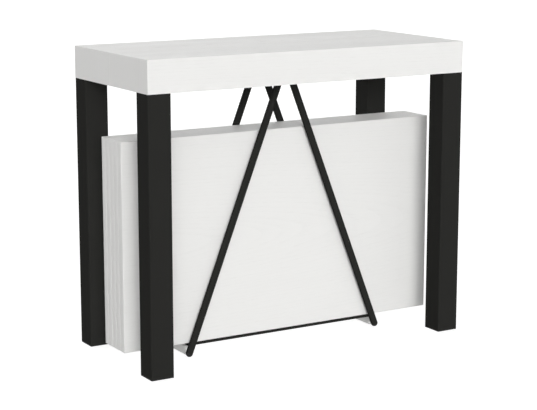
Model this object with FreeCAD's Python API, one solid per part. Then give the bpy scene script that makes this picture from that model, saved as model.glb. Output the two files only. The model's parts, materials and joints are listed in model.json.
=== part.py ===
"""Extending console table: two half tops on telescopic rails, with five loose leaves in a rack below.

Millimetres. X runs along the table, -Y is the front, Z is up, and the origin is on the floor
under the middle of the closed table. The rear half is the front half turned about Z.
"""
import FreeCAD, Part
import math
import os

# Closed table
TABLE_LENGTH = 900.0
TABLE_DEPTH = 400.0
TABLE_HEIGHT = 760.0
BOX_HEIGHT = 80.0
SEAM_GAP = 0.6
EDGE_RADIUS = 1.0

# Loose leaves, stored upright
LEAF_COUNT = 5
LEAF_THICKNESS = 21.0
LEAF_WIDTH = 520.0
LEAF_GAP = 0.5
LEAF_REST_GAP = 0.3

# Legs
LEG_WIDTH = 60.0
LEG_WALL = 2.0
LEG_CORNER_RADIUS = 3.0
LEG_LEAST_INNER_RADIUS = 0.5
LEG_TOP_PLATE = 6.0
CAP_LIP = 3.0
CAP_PLUG_HEIGHT = 14.0
CAP_CLEARANCE = 0.2

# Corner blocks and the bolts that hold the legs
BLOCK_PAST_LEG = 20.0
BLOCK_HEIGHT = 40.0
LEG_BOLT_DIAMETER = 8.0
LEG_BOLT_HEAD_FLATS = 13.0
LEG_BOLT_HEAD_HEIGHT = 5.3
LEG_BOLT_INSET = 10.0
LEG_BOLT_EDGE = 10.0
LEG_BOLT_END = 2.0
WASHER_DIAMETER = 16.0
WASHER_THICKNESS = 1.6
BOLT_CLEARANCE = 0.15

# Telescopic rails: each has a tee rib that runs in the tee slot of the rail beside it
STAGE_COUNT = 4
RAIL_THICKNESS = 12.0
RAIL_HEIGHT = 36.0
RAIL_GAP = 1.0
RAIL_END_SPACE = 5.0
RAIL_TOP_CLEARANCE = 1.0
RAIL_SIDE_CLEARANCE = 3.0
SLOT_MOUTH = 10.0
SLOT_HEIGHT = 16.0
SLOT_DEPTH = 8.0
SLOT_LIP = 3.0
SLIDE_CLEARANCE = 0.4

# Stop studs: one in each slot runs in a groove of the rib beside it
STUD_DIAMETER = 4.0
STUD_ROOT = 2.0
STUD_REACH = 3.0
STUD_INSET = 10.0

# End plates of the outer rails
PLATE_REACH = 40.0
PLATE_FLOOR_SPACE = 3.0
PLATE_DROP_CLEARANCE = 1.0
WOOD_SCREW_DIAMETER = 4.0
WOOD_SCREW_HEAD = 8.0
WOOD_SCREW_HEAD_HEIGHT = 2.5
WOOD_SCREW_BITE = 12.0
PLATE_SCREW_INSET = 9.0

# Cross ties of the rail stages
TIE_WIDTH = 22.0
TIE_THICKNESS = 4.0
TIE_SPACER = 3.0
TIE_SPACING = 8.0
TIE_SCREW_SPREAD = 10.0
RAIL_SCREW_DIAMETER = 4.0
RAIL_SCREW_HEAD = 8.0
RAIL_SCREW_HEAD_HEIGHT = 2.5
RAIL_SCREW_BITE = 6.0

# Cross beam and ridge plate in the middle
BEAM_WIDTH = 44.0
BEAM_THICKNESS = 8.0
BEAM_SCREW_SPREAD = 26.0
RIDGE_LENGTH = 70.0
RIDGE_THICKNESS = 4.0
RIDGE_MARGIN = 6.0
RIDGE_BOLT_DIAMETER = 8.0
RIDGE_BOLT_FLATS = 13.0
RIDGE_BOLT_HEAD_HEIGHT = 5.3
RIDGE_NUT_HEIGHT = 6.5
RIDGE_BOLT_SPACING_X = 44.0
RIDGE_BOLT_SPACING_Y = 22.0

# Leaf holder
STRUT_DIAMETER = 18.0
STRUT_WALL = 1.5
STRUT_FOOT_X = 278.3
STRUT_SLOPE = 0.3918
STRUT_LEAF_SPACE = 4.2
FOOT_STEM_LENGTH = 15.0
FOOT_CLEARANCE = 0.2
SLEEVE_WIDTH = 17.0
SLEEVE_HEIGHT = 21.0
SLEEVE_FLOOR_SPACE = 4.0
SLEEVE_CORNER_RADIUS = 2.0
SLEEVE_END_CLEARANCE = 0.7
FLOOR_ROD_DIAMETER = 12.0
FLOOR_ROD_CLEARANCE = 0.2
LEAF_BAR_WIDTH = 20.0
LEAF_BAR_HEIGHT = 6.0
LEAF_BAR_LAP = 7.4
LEAF_BAR_PROUD = 2.5
BAR_SCREW_DIAMETER = 3.0
BAR_SCREW_HEAD = 5.6
BAR_SCREW_HEAD_HEIGHT = 2.4
BAR_SCREW_SINK = 3.0
BAR_SCREW_BITE = 4.0

# Worked out from the sizes above
HALF_LENGTH = TABLE_LENGTH / 2
HALF_DEPTH = TABLE_DEPTH / 2
BOX_BOTTOM = TABLE_HEIGHT - BOX_HEIGHT
BOARD = LEAF_THICKNESS - RAIL_TOP_CLEARANCE
PANEL_BOTTOM = TABLE_HEIGHT - BOARD
INNER_X = HALF_LENGTH - BOARD
INNER_Y = HALF_DEPTH - BOARD

LEG_X = -(HALF_LENGTH - LEG_WIDTH / 2)
LEG_Y = -(HALF_DEPTH - LEG_WIDTH / 2)
LEG_INSIDE = LEG_WIDTH - 2 * LEG_WALL
LEG_INNER_RADIUS = max(LEG_CORNER_RADIUS - LEG_WALL, LEG_LEAST_INNER_RADIUS)
BLOCK_WIDTH = LEG_WIDTH - BOARD + BLOCK_PAST_LEG
BLOCK_TOP = BOX_BOTTOM + BLOCK_HEIGHT

RAIL_TOP = TABLE_HEIGHT - LEAF_THICKNESS
RAIL_BOTTOM = RAIL_TOP - RAIL_HEIGHT
RAIL_PITCH = RAIL_THICKNESS + RAIL_GAP
RAIL_END_Y = INNER_Y - RAIL_END_SPACE
RAIL_COUNT = 2 * STAGE_COUNT + 3
CENTRE_RAIL = STAGE_COUNT + 1
RAIL_MIDDLE = RAIL_BOTTOM + RAIL_HEIGHT / 2
STAGE_TRAVEL = LEAF_COUNT * LEAF_WIDTH / (RAIL_COUNT - 1)
STUD_Y = RAIL_END_Y - STUD_INSET
PACK_X = -(INNER_X - BLOCK_WIDTH - RAIL_SIDE_CLEARANCE)

TIE_TOP = RAIL_BOTTOM - TIE_SPACER
BEAM_BOTTOM = TIE_TOP - BEAM_THICKNESS
RIDGE_BOTTOM = BEAM_BOTTOM - RIDGE_THICKNESS

STRUT_RADIUS = STRUT_DIAMETER / 2
LEAF_PITCH = LEAF_THICKNESS + LEAF_GAP
STACK_HALF = (LEAF_COUNT * LEAF_PITCH - LEAF_GAP) / 2
STRUT_Y = STACK_HALF + STRUT_LEAF_SPACE + STRUT_RADIUS
STRUT_LEAN = math.atan(STRUT_SLOPE)
SLEEVE_TOP = SLEEVE_FLOOR_SPACE + SLEEVE_HEIGHT
FLOOR_ROD_Z = SLEEVE_TOP - SLEEVE_HEIGHT / 2
SLEEVE_X = STRUT_FOOT_X - STRUT_SLOPE * (FLOOR_ROD_Z - STRUT_RADIUS)
SLEEVE_INNER_X = SLEEVE_X - SLEEVE_WIDTH / 2
LEAF_BAR_TOP = SLEEVE_TOP + LEAF_BAR_HEIGHT
LEAF_BAR_FRONT = STACK_HALF + LEAF_BAR_PROUD
LEAF_BOTTOM = LEAF_BAR_TOP + LEAF_REST_GAP

UP = FreeCAD.Vector(0, 0, 1)
REARWARD = FreeCAD.Vector(0, 1, 0)
ACROSS = FreeCAD.Vector(1, 0, 0)
ORIGIN = FreeCAD.Vector(0, 0, 0)
TOUCH = 1e-6


def point(x, y, z):
    return FreeCAD.Vector(x, y, z)


def box(low, high):
    """A box between two corners."""
    size = [high[i] - low[i] for i in range(3)]
    return Part.makeBox(*size, point(*low))


def upright_rod(x, y, z_low, z_high, diameter):
    return Part.makeCylinder(diameter / 2, z_high - z_low, point(x, y, z_low), UP)


def depth_rod(x, z, y_low, y_high, diameter):
    return Part.makeCylinder(diameter / 2, y_high - y_low, point(x, y_low, z), REARWARD)


def hexagon(x, y, z_low, z_high, flats):
    """An upright hexagonal prism, such as a bolt head or a nut."""
    reach = flats / math.sqrt(3)
    corners = []
    for step in range(7):
        angle = math.radians(60 * step)
        corners.append(point(x + reach * math.cos(angle), y + reach * math.sin(angle), z_low))
    return Part.Face(Part.makePolygon(corners)).extrude(point(0, 0, z_high - z_low))


def edges_along(shape, direction):
    """The straight edges that run along a direction."""
    found = []
    for edge in shape.Edges:
        along = edge.Vertexes[-1].Point.sub(edge.Vertexes[0].Point)
        if along.cross(direction).Length < TOUCH * along.Length:
            found.append(edge)
    return found


def rounded_post(x, y, width, z_low, z_high, radius):
    """A square upright post with rounded corners, centred on x and y."""
    half = width / 2
    post = box((x - half, y - half, z_low), (x + half, y + half, z_high))
    return post.makeFillet(radius, edges_along(post, UP))


def six_sided(near_corners, far_corners):
    """A solid between two four-cornered faces whose corners are given in the same order."""
    faces = [near_corners, far_corners]
    for i in range(4):
        j = (i + 1) % 4
        faces.append([near_corners[i], near_corners[j], far_corners[j], far_corners[i]])
    shell = Part.makeShell([Part.Face(Part.makePolygon(c + c[:1])) for c in faces])
    solid = Part.makeSolid(shell)
    if solid.Volume < 0:
        solid.reverse()
    return solid


def turned(shape):
    """The same piece on the other half: turned half round about Z."""
    copy = shape.copy()
    copy.rotate(ORIGIN, UP, 180)
    return copy


def mirrored(shape):
    """The same piece at the other end of the table."""
    return shape.mirror(ORIGIN, point(1, 0, 0))


def cut_all(shape, tools):
    for tool in tools:
        shape = shape.cut(tool)
    return shape


def save(name, solids):
    """Writes one sub-part, a single solid or a group of separate ones."""
    shape = solids[0] if len(solids) == 1 else Part.makeCompound(solids)
    shape.exportStep("parts/" + name + ".step")


# Box of one half, split along its mitres
def half_block():
    """The half box's outer form with its seen edges eased."""
    low = (-HALF_LENGTH, -HALF_DEPTH, BOX_BOTTOM)
    high = (HALF_LENGTH, -SEAM_GAP / 2, TABLE_HEIGHT)
    block = box(low, high)
    eased = []
    for edge in block.Edges:
        middle = edge.CenterOfMass
        on_top = abs(middle.z - TABLE_HEIGHT) < TOUCH
        on_front = abs(middle.y + HALF_DEPTH) < TOUCH
        on_end = abs(abs(middle.x) - HALF_LENGTH) < TOUCH
        if on_top + on_front + on_end == 2:
            eased.append(edge)
    return block.makeFillet(EDGE_RADIUS, eased)


def mitred_boards():
    """Top panel, long apron, left apron and right apron of the front half."""
    past = BOARD
    x_out = HALF_LENGTH + past
    y_out = -HALF_DEPTH - past
    z_out = TABLE_HEIGHT + past
    y_in = -INNER_Y
    y_seam = past
    z_low = BOX_BOTTOM - past
    panel = six_sided(
        [point(-x_out, y_out, z_out), point(x_out, y_out, z_out),
         point(x_out, y_seam, z_out), point(-x_out, y_seam, z_out)],
        [point(-INNER_X, y_in, PANEL_BOTTOM), point(INNER_X, y_in, PANEL_BOTTOM),
         point(INNER_X, y_seam, PANEL_BOTTOM), point(-INNER_X, y_seam, PANEL_BOTTOM)])
    apron = six_sided(
        [point(-x_out, y_out, z_low), point(x_out, y_out, z_low),
         point(x_out, y_out, z_out), point(-x_out, y_out, z_out)],
        [point(-INNER_X, y_in, z_low), point(INNER_X, y_in, z_low),
         point(INNER_X, y_in, PANEL_BOTTOM), point(-INNER_X, y_in, PANEL_BOTTOM)])
    left = six_sided(
        [point(-x_out, y_out, z_low), point(-x_out, y_seam, z_low),
         point(-x_out, y_seam, z_out), point(-x_out, y_out, z_out)],
        [point(-INNER_X, y_in, z_low), point(-INNER_X, y_seam, z_low),
         point(-INNER_X, y_seam, PANEL_BOTTOM), point(-INNER_X, y_in, PANEL_BOTTOM)])
    block = half_block()
    return [block.common(wedge) for wedge in (panel, apron, left, mirrored(left))]


# Legs of one half
def leg_bolt_places():
    """Places of the bolts at the left leg: inside both the leg and the corner block."""
    near = LEG_BOLT_INSET
    far = LEG_WIDTH - BOARD - LEG_BOLT_EDGE
    return [(near - INNER_X, far - INNER_Y), (far - INNER_X, near - INNER_Y)]


def leg_bolt_holes():
    hole = LEG_BOLT_DIAMETER + 2 * BOLT_CLEARANCE
    return [upright_rod(x, y, 0, TABLE_HEIGHT, hole) for x, y in leg_bolt_places()]


def leg():
    """Left leg: a square tube with a plate welded into its top."""
    tube = rounded_post(LEG_X, LEG_Y, LEG_WIDTH, CAP_LIP, BOX_BOTTOM, LEG_CORNER_RADIUS)
    plate_bottom = BOX_BOTTOM - LEG_TOP_PLATE
    hollow = rounded_post(LEG_X, LEG_Y, LEG_INSIDE, CAP_LIP, plate_bottom, LEG_INNER_RADIUS)
    return cut_all(tube.cut(hollow), leg_bolt_holes())


def leg_cap():
    """Plastic cap under the left leg, with a plug inside the tube."""
    lip = rounded_post(LEG_X, LEG_Y, LEG_WIDTH, 0, CAP_LIP, LEG_CORNER_RADIUS)
    plug_width = LEG_INSIDE - 2 * CAP_CLEARANCE
    plug_top = CAP_LIP + CAP_PLUG_HEIGHT
    plug = rounded_post(LEG_X, LEG_Y, plug_width, CAP_LIP, plug_top, LEG_INNER_RADIUS)
    return lip.fuse(plug).removeSplitter()


def corner_block():
    low = (-INNER_X, -INNER_Y, BOX_BOTTOM)
    high = (-INNER_X + BLOCK_WIDTH, -INNER_Y + BLOCK_WIDTH, BLOCK_TOP)
    return cut_all(box(low, high), leg_bolt_holes())


def leg_bolts():
    """Bolts and washers of the left leg."""
    pieces = []
    washer_top = BLOCK_TOP + WASHER_THICKNESS
    head_top = washer_top + LEG_BOLT_HEAD_HEIGHT
    shank_end = BOX_BOTTOM - LEG_TOP_PLATE - LEG_BOLT_END
    hole = LEG_BOLT_DIAMETER + 2 * BOLT_CLEARANCE
    for x, y in leg_bolt_places():
        shank = upright_rod(x, y, shank_end, washer_top, LEG_BOLT_DIAMETER)
        pieces.append(shank.fuse(hexagon(x, y, washer_top, head_top, LEG_BOLT_HEAD_FLATS)))
        ring = upright_rod(x, y, BLOCK_TOP, washer_top, WASHER_DIAMETER)
        pieces.append(ring.cut(upright_rod(x, y, BLOCK_TOP, washer_top, hole)))
    return pieces


# Rails
def rail_left_x(index):
    """The outer face of a rail in the left pack, counted from the table's end."""
    return PACK_X + index * RAIL_PITCH


def rail_middle_x(index):
    return rail_left_x(index) + RAIL_THICKNESS / 2


def rail_rod(x_low, x_high, y, diameter):
    """A rod across the rails at half their height."""
    return Part.makeCylinder(diameter / 2, x_high - x_low, point(x_low, y, RAIL_MIDDLE), ACROSS)


def stop_stud(slot_floor):
    """Stud on a slot's floor, which keeps the rail beside it from running out."""
    return rail_rod(slot_floor - STUD_ROOT, slot_floor + STUD_REACH, STUD_Y, STUD_DIAMETER)


def stud_groove(rib_face):
    """Groove in a rib's face, as long as the stud's travel."""
    width = STUD_DIAMETER + 2 * SLIDE_CLEARANCE
    bottom = rib_face + STUD_REACH
    open_end = STUD_Y - STAGE_TRAVEL
    groove = box((rib_face, open_end, RAIL_MIDDLE - width / 2), (bottom, STUD_Y, RAIL_MIDDLE + width / 2))
    for y in (open_end, STUD_Y):
        groove = groove.fuse(rail_rod(rib_face, bottom, y, width))
    return groove


def rail(index):
    """One rail of the left pack. The first has no rib and the last has no slot."""
    face = RAIL_THICKNESS
    middle = RAIL_HEIGHT / 2
    floor = face - SLOT_DEPTH
    head = -(RAIL_GAP + SLOT_DEPTH - SLIDE_CLEARANCE)
    outline = [(0, 0), (face, 0)]
    if index < RAIL_COUNT - 1:
        lip = face - SLOT_LIP
        mouth = SLOT_MOUTH / 2
        inside = SLOT_HEIGHT / 2
        outline += [(face, middle - mouth), (lip, middle - mouth), (lip, middle - inside),
                    (floor, middle - inside), (floor, middle + inside), (lip, middle + inside),
                    (lip, middle + mouth), (face, middle + mouth)]
    outline += [(face, RAIL_HEIGHT), (0, RAIL_HEIGHT)]
    if index > 0:
        neck = -(RAIL_GAP + SLOT_LIP + SLIDE_CLEARANCE)
        thin = SLOT_MOUTH / 2 - SLIDE_CLEARANCE
        wide = SLOT_HEIGHT / 2 - SLIDE_CLEARANCE
        outline += [(0, middle + thin), (neck, middle + thin), (neck, middle + wide),
                    (head, middle + wide), (head, middle - wide), (neck, middle - wide),
                    (neck, middle - thin), (0, middle - thin)]
    outline.append(outline[0])
    x = rail_left_x(index)
    corners = [point(x + across, -RAIL_END_Y, RAIL_BOTTOM + up) for across, up in outline]
    bar = Part.Face(Part.makePolygon(corners)).extrude(point(0, 2 * RAIL_END_Y, 0))
    if index < RAIL_COUNT - 1:
        bar = bar.fuse(stop_stud(x + floor))
    if index > 0:
        bar = bar.cut(stud_groove(x + head))
    return bar


def end_plate(outer_x, inward):
    """Plate that carries the front end of an outer rail on the long apron."""
    inner_x = outer_x + inward * PLATE_REACH
    rail_x = outer_x + inward * RAIL_THICKNESS
    low = BOX_BOTTOM + PLATE_FLOOR_SPACE
    shoulder = RAIL_BOTTOM - PLATE_DROP_CLEARANCE
    outline = [(outer_x, low), (inner_x, low), (inner_x, shoulder), (rail_x, shoulder),
               (rail_x, RAIL_TOP), (outer_x, RAIL_TOP), (outer_x, low)]
    corners = [point(x, -INNER_Y, z) for x, z in outline]
    return Part.Face(Part.makePolygon(corners)).extrude(point(0, RAIL_END_SPACE, 0))


def plate_screw_places(outer_x, inward):
    height = (BOX_BOTTOM + PLATE_FLOOR_SPACE + RAIL_BOTTOM - PLATE_DROP_CLEARANCE) / 2
    insets = (PLATE_SCREW_INSET, PLATE_REACH - PLATE_SCREW_INSET)
    return [(outer_x + inward * inset, height) for inset in insets]


def plate_screw(x, z):
    head_face = -RAIL_END_Y
    tip = -INNER_Y - WOOD_SCREW_BITE
    shank = depth_rod(x, z, tip, head_face, WOOD_SCREW_DIAMETER)
    head = depth_rod(x, z, head_face, head_face + WOOD_SCREW_HEAD_HEIGHT, WOOD_SCREW_HEAD)
    return shank.fuse(head)


def plate_screw_hole(x, z):
    tip = -INNER_Y - WOOD_SCREW_BITE
    return depth_rod(x, z, tip, -RAIL_END_Y, WOOD_SCREW_DIAMETER + 2 * BOLT_CLEARANCE)


def rail_screw(x, y, head_face):
    """Pan-head screw from below into a rail's underside."""
    shank = upright_rod(x, y, head_face, RAIL_BOTTOM + RAIL_SCREW_BITE, RAIL_SCREW_DIAMETER)
    head = upright_rod(x, y, head_face - RAIL_SCREW_HEAD_HEIGHT, head_face, RAIL_SCREW_HEAD)
    return shank.fuse(head)


def rail_screw_hole(x, y, head_face):
    hole = RAIL_SCREW_DIAMETER + 2 * BOLT_CLEARANCE
    return upright_rod(x, y, head_face, RAIL_BOTTOM + RAIL_SCREW_BITE, hole)


def cross_bar(left_x, right_x, y, width, thickness):
    """Flat bar under the rails, and the two spacers that carry its own rails on it."""
    half = width / 2
    reach = RAIL_THICKNESS / 2
    low = (left_x - reach, y - half, TIE_TOP - thickness)
    pieces = [box(low, (right_x + reach, y + half, TIE_TOP))]
    for x in (left_x, right_x):
        low = (x - reach, y - half, TIE_TOP)
        pieces.append(box(low, (x + reach, y + half, RAIL_BOTTOM)))
    return pieces


def save_stage(number):
    """Rails and tie of one front stage, and their copies on the rear side."""
    left_index = CENTRE_RAIL - number
    right_index = CENTRE_RAIL + number
    left_x = rail_middle_x(left_index)
    right_x = -rail_middle_x(right_index)
    y = -(BEAM_WIDTH / 2 + TIE_SPACING * number + TIE_WIDTH * (number - 0.5))
    head_face = TIE_TOP - TIE_THICKNESS
    places = [(x, y + side * TIE_SCREW_SPREAD / 2) for x in (left_x, right_x) for side in (-1, 1)]
    holes = [rail_screw_hole(*place, head_face) for place in places]
    rails = [cut_all(rail(left_index), holes), cut_all(turned(rail(right_index)), holes)]
    bars = cross_bar(left_x, right_x, y, TIE_WIDTH, TIE_THICKNESS)
    tie_pieces = [cut_all(solid, holes) for solid in bars]
    tie_pieces += [rail_screw(*place, head_face) for place in places]
    save("front_rails_%d" % number, rails)
    save("front_tie_%d" % number, tie_pieces)
    save("rear_rails_%d" % number, [turned(piece) for piece in rails])
    save("rear_tie_%d" % number, [turned(piece) for piece in tie_pieces])


def other_end(name):
    """A piece's name after a half turn, which brings left to right."""
    for side, other in (("left_", "right_"), ("right_", "left_")):
        if name.startswith(side):
            return other + name[len(side):]
    return name


def save_halves():
    """The front half's pieces, and the same pieces turned for the rear half."""
    last = RAIL_COUNT - 1
    plates = [(rail_left_x(0), 1), (-rail_left_x(last), -1)]
    screw_places = [place for plate in plates for place in plate_screw_places(*plate)]
    screw_holes = [plate_screw_hole(*place) for place in screw_places]
    panel, apron, left_apron, right_apron = mitred_boards()
    pieces = {
        "top_panel": [panel],
        "long_apron": [cut_all(apron, screw_holes)],
        "left_apron": [left_apron],
        "right_apron": [right_apron],
        "left_leg": [leg()],
        "right_leg": [mirrored(leg())],
        "leg_caps": [leg_cap(), mirrored(leg_cap())],
        "corner_blocks": [corner_block(), mirrored(corner_block())],
        "leg_bolts": leg_bolts() + [mirrored(bolt) for bolt in leg_bolts()],
        "end_rails": [rail(0), turned(rail(last))],
        "rail_plates": [cut_all(end_plate(*plate), screw_holes) for plate in plates],
        "plate_screws": [plate_screw(*place) for place in screw_places],
    }
    for name, solids in pieces.items():
        save("front_" + name, solids)
        save("rear_" + other_end(name), [turned(solid) for solid in solids])


# Middle of the table: beam, ridge plate and leaf holder
def save_centre_rails_and_beam():
    left_x = rail_middle_x(CENTRE_RAIL)
    spread = BEAM_SCREW_SPREAD / 2
    screw_places = [(x, y) for x in (left_x, -left_x) for y in (-spread, spread)]
    holes = [rail_screw_hole(*place, BEAM_BOTTOM) for place in screw_places]
    rails = [rail(CENTRE_RAIL), turned(rail(CENTRE_RAIL))]
    save("centre_rails", [cut_all(solid, holes) for solid in rails])

    bolt_hole = RIDGE_BOLT_DIAMETER + 2 * BOLT_CLEARANCE
    bolt_x = RIDGE_BOLT_SPACING_X / 2
    bolt_y = RIDGE_BOLT_SPACING_Y / 2
    bolt_places = [(x, y) for x in (-bolt_x, bolt_x) for y in (-bolt_y, bolt_y)]
    bolt_holes = [upright_rod(x, y, RIDGE_BOTTOM, TIE_TOP, bolt_hole) for x, y in bolt_places]
    bars = cross_bar(left_x, -left_x, 0, BEAM_WIDTH, BEAM_THICKNESS)
    save("centre_beam", [cut_all(solid, holes + bolt_holes) for solid in bars])

    reach = STRUT_Y + STRUT_RADIUS + RIDGE_MARGIN
    low = (-RIDGE_LENGTH / 2, -reach, RIDGE_BOTTOM)
    plate = box(low, (RIDGE_LENGTH / 2, reach, BEAM_BOTTOM))
    save("ridge_plate", [cut_all(plate, bolt_holes)])

    fasteners = [rail_screw(*place, BEAM_BOTTOM) for place in screw_places]
    nut_top = TIE_TOP + RIDGE_NUT_HEIGHT
    for x, y in bolt_places:
        head_bottom = RIDGE_BOTTOM - RIDGE_BOLT_HEAD_HEIGHT
        head = hexagon(x, y, head_bottom, RIDGE_BOTTOM, RIDGE_BOLT_FLATS)
        fasteners.append(head.fuse(upright_rod(x, y, RIDGE_BOTTOM, nut_top, RIDGE_BOLT_DIAMETER)))
        nut = hexagon(x, y, TIE_TOP, nut_top, RIDGE_BOLT_FLATS)
        fasteners.append(nut.cut(upright_rod(x, y, TIE_TOP, nut_top, bolt_hole)))
    save("beam_bolts", fasteners)


def strut_axis():
    """Foot centre and upward direction of the front left strut."""
    foot = point(-STRUT_FOOT_X, -STRUT_Y, STRUT_RADIUS)
    return foot, point(math.sin(STRUT_LEAN), 0, math.cos(STRUT_LEAN))


def strut_bar(radius):
    """A round bar along the front left strut, cut level under the ridge plate."""
    foot, along = strut_axis()
    length = TABLE_HEIGHT / math.cos(STRUT_LEAN)
    bar = Part.makeCylinder(radius, length, foot, along)
    span = TABLE_LENGTH
    above = box((-span, -span, RIDGE_BOTTOM), (span, span, 2 * TABLE_HEIGHT))
    return bar.cut(above)


def strut_foot():
    """Domed plug that closes the front left strut on the floor."""
    foot, along = strut_axis()
    dome = Part.makeSphere(STRUT_RADIUS, foot, along, -90, 0, 360)
    stem_radius = STRUT_RADIUS - STRUT_WALL - FOOT_CLEARANCE
    return dome.fuse(Part.makeCylinder(stem_radius, FOOT_STEM_LENGTH, foot, along))


def four_ways(shape):
    """Front left, front right, rear left and rear right copies of a piece."""
    return [shape, mirrored(shape), turned(mirrored(shape)), turned(shape)]


def save_holder():
    strut = strut_bar(STRUT_RADIUS).cut(strut_bar(STRUT_RADIUS - STRUT_WALL))
    places = ("front_left", "front_right", "rear_left", "rear_right")
    for place, solid in zip(places, four_ways(strut)):
        save("strut_" + place, [solid])
    save("strut_feet", four_ways(strut_foot()))

    front = strut_bar(STRUT_RADIUS).fuse(strut_foot())
    rod = depth_rod(-SLEEVE_X, FLOOR_ROD_Z, -STRUT_Y, STRUT_Y, FLOOR_ROD_DIAMETER)
    rod = cut_all(rod, [front, turned(mirrored(front))])
    save("floor_rods", [rod, mirrored(rod)])

    end = STRUT_Y - STRUT_RADIUS - SLEEVE_END_CLEARANCE
    low = (-SLEEVE_INNER_X - SLEEVE_WIDTH, -end, SLEEVE_FLOOR_SPACE)
    sleeve = box(low, (-SLEEVE_INNER_X, end, SLEEVE_TOP))
    sleeve = sleeve.makeFillet(SLEEVE_CORNER_RADIUS, edges_along(sleeve, REARWARD))
    bore = FLOOR_ROD_DIAMETER + 2 * FLOOR_ROD_CLEARANCE
    sleeve = sleeve.cut(depth_rod(-SLEEVE_X, FLOOR_ROD_Z, -end, end, bore))

    bar_y = -LEAF_BAR_FRONT + LEAF_BAR_WIDTH / 2
    half_bar = SLEEVE_INNER_X + LEAF_BAR_LAP
    bar = box((-half_bar, -LEAF_BAR_FRONT, SLEEVE_TOP),
              (half_bar, -LEAF_BAR_FRONT + LEAF_BAR_WIDTH, LEAF_BAR_TOP))
    seat = LEAF_BAR_TOP - BAR_SCREW_SINK
    tip = SLEEVE_TOP - BAR_SCREW_BITE
    hole = BAR_SCREW_DIAMETER + 2 * BOLT_CLEARANCE
    recess = BAR_SCREW_HEAD + 2 * BOLT_CLEARANCE
    screw_x = -half_bar + LEAF_BAR_LAP / 2
    shank = upright_rod(screw_x, bar_y, tip, seat, BAR_SCREW_DIAMETER)
    head = upright_rod(screw_x, bar_y, seat, seat + BAR_SCREW_HEAD_HEIGHT, BAR_SCREW_HEAD)
    shank_hole = upright_rod(screw_x, bar_y, tip, seat, hole)
    head_recess = upright_rod(screw_x, bar_y, seat, LEAF_BAR_TOP, recess)
    hollow = shank_hole.fuse(head_recess)

    sleeve = cut_all(sleeve, [hollow, turned(mirrored(hollow))])
    save("floor_sleeves", [sleeve, mirrored(sleeve)])
    bar = cut_all(bar, [hollow, mirrored(hollow)])
    save("leaf_bars", [bar, turned(bar)])
    save("bar_screws", four_ways(shank.fuse(head)))


def save_leaves():
    for number in range(1, LEAF_COUNT + 1):
        front = -STACK_HALF + (number - 1) * LEAF_PITCH
        leaf = box((-HALF_LENGTH, front, LEAF_BOTTOM),
                   (HALF_LENGTH, front + LEAF_THICKNESS, LEAF_BOTTOM + LEAF_WIDTH))
        save("leaf_%d" % number, [leaf.makeFillet(EDGE_RADIUS, leaf.Edges)])


os.makedirs("parts", exist_ok=True)
save_halves()
for stage in range(1, STAGE_COUNT + 1):
    save_stage(stage)
save_centre_rails_and_beam()
save_holder()
save_leaves()
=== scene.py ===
"""Looks of the extending console table: finishes, eased edges, bands, fasteners, welds, light and camera.

Metres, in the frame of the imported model: X along the table, -Y the front, Z up, floor at zero.
"""
import bmesh
import bpy
import json
import math
from mathutils import Matrix, Vector


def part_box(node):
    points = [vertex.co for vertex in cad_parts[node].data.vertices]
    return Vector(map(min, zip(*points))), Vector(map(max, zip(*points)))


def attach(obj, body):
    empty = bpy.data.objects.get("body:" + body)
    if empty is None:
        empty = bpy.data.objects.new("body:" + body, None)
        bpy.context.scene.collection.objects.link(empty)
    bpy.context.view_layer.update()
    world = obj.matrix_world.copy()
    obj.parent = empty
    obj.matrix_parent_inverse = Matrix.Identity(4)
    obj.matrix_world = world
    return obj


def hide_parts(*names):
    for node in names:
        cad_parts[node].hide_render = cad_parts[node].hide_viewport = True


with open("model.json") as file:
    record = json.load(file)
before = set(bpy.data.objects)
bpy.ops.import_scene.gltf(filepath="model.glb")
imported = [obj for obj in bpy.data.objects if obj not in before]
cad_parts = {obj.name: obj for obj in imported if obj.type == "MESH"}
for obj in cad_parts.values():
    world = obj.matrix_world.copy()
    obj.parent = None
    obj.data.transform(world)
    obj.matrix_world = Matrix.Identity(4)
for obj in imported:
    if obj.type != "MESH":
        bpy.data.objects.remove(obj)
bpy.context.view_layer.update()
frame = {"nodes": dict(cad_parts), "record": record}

MM = 0.001
HALVES = ("front", "rear")
STAGES = (1, 2, 3, 4)
LEAVES = (1, 2, 3, 4, 5)
SLOT_OF = {row["node"]: row["material_slot"] for row in frame["record"]["subparts"]}
BODY_OF = {node: body for body, nodes in frame["record"]["behaviour"]["bodies"].items() for node in nodes}

# Camera, fitted to the photograph's edges
IMAGE_WIDTH = 537
SENSOR_WIDTH = 36.0
FOCAL_PIXELS = 1599.5
CAMERA_PLACE = (-2.0748, -3.4484, 1.1412)
CAMERA_TURN = 30.92
CAMERA_DIP = 11.19

# Soft lights: bearing from the front and height in degrees, tightness, strength
SOFT_LIGHTS = {
    "low key": (-22, 10, 40, 13.0),
    "side key": (-26, 18, 160, 8.8),
    "front": (-14, 20, 40, 2.0),
    "high fill": (30, 50, 6, 0.75),
    "high front": (-5, 45, 12, 0.69),
    "rear": (180, 0, 2, 2.8),
}
BACKDROP_WHITE = 1.05
FLOOR_REACH = 40.0
FLOOR_SQUARES = 8
FLOOR_DROP = 0.4 * MM
FLOOR_GLOW = 0.21
FLOOR_WHITE = 0.88

# Joining of a node's loose triangles, and how near counts as touching
MERGE_DISTANCE = 0.001 * MM
FLAT_ANGLE = math.radians(1)
TOUCH = 0.01 * MM

# Eased edges of the metal and wood parts
EASE_ANGLE = math.radians(35)
EASE_SEGMENTS = 2
RAIL_EASE = 0.4 * MM
STEEL_EASE = 0.5 * MM
BLOCK_EASE = 1.0 * MM

# Edge bands of the leaves
BAND = 2.0 * MM
BAND_JOINT = 0.3 * MM
BAND_JOINT_DEPTH = 0.12 * MM
LEAF_EDGE_RADIUS = 1.8 * MM
LEAF_EDGE_SEGMENTS = 4

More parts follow.
